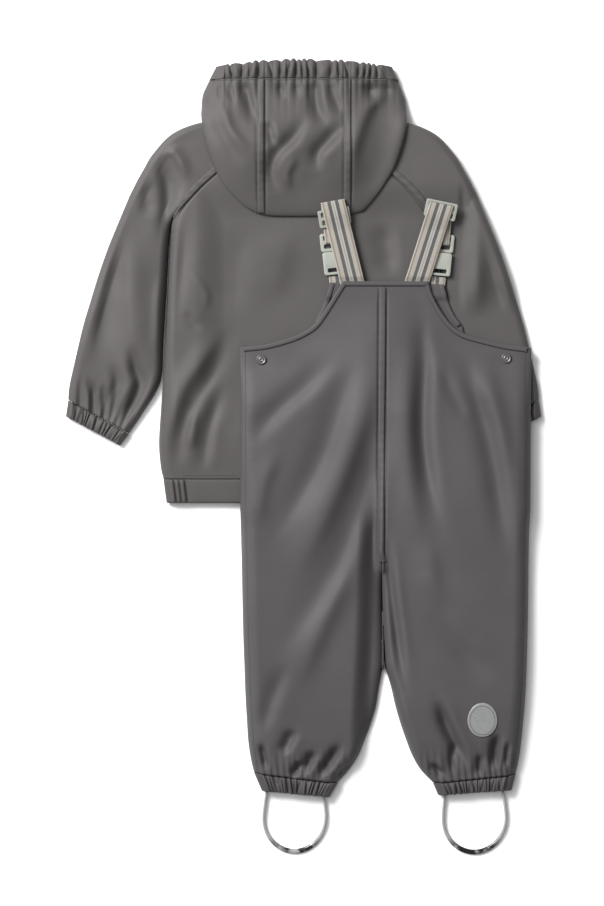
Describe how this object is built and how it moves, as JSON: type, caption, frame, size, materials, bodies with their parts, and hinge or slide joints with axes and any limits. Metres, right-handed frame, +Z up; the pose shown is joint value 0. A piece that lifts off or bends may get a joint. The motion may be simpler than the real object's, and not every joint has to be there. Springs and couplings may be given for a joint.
{
  "type": "child's rain suit, jacket and bib dungarees",
  "caption": "Dark grey coated rain suit of a small child, laid flat: hooded jacket from behind, bib dungarees with striped braces over it.",
  "frame": {"origin": "on the floor, under the middle of the laid-out suit's overall box", "axes": "+Z up from the floor, +Y up the garments towards the hood, +X to the viewer's right"},
  "size_m": [0.5972, 0.9969, 0.0393],
  "materials": {
    "rain_fabric": "matte",
    "brace_webbing": "woven",
    "buckle_plastic": "satin",
    "stud_metal": "satin",
    "loop_tpu": "gloss",
    "reflective_film": "satin"
  },
  "bodies": {
    "root": {"bib_binding_back": "rain_fabric", "bib_binding_front_left": "rain_fabric", "bib_binding_front_right": "rain_fabric", "brace_left": "brace_webbing", "brace_right": "brace_webbing", "buckle_female_left": "buckle_plastic", "buckle_female_right": "buckle_plastic", "buckle_male_left": "buckle_plastic", "buckle_male_right": "buckle_plastic", "dungaree_back_left": "rain_fabric", "dungaree_back_right": "rain_fabric", "dungaree_centre_band": "rain_fabric", "dungaree_front_left": "rain_fabric", "dungaree_front_right": "rain_fabric", "foot_loop_left": "loop_tpu", "foot_loop_right": "loop_tpu", "front_placket": "rain_fabric", "hood_band_left": "rain_fabric", "hood_band_right": "rain_fabric", "hood_centre": "rain_fabric", "hood_edge": "rain_fabric", "hood_side_left": "rain_fabric", "hood_side_right": "rain_fabric", "hood_throat": "rain_fabric", "hood_under": "rain_fabric", "jacket_back": "rain_fabric", "jacket_front_left": "rain_fabric", "jacket_front_right": "rain_fabric", "jacket_hem": "rain_fabric", "leg_cuff_left": "rain_fabric", "leg_cuff_right": "rain_fabric", "press_stud_left": "stud_metal", "press_stud_right": "stud_metal", "raglan_band_left": "rain_fabric", "raglan_band_right": "rain_fabric", "reflector": "reflective_film", "sleeve_cuff_left": "rain_fabric", "sleeve_cuff_right": "rain_fabric", "sleeve_left": "rain_fabric", "sleeve_right": "rain_fabric", "strap_adjuster_left": "buckle_plastic", "strap_adjuster_right": "buckle_plastic", "strap_tab_left": "brace_webbing", "strap_tab_right": "brace_webbing"}
  },
  "joints": []
}
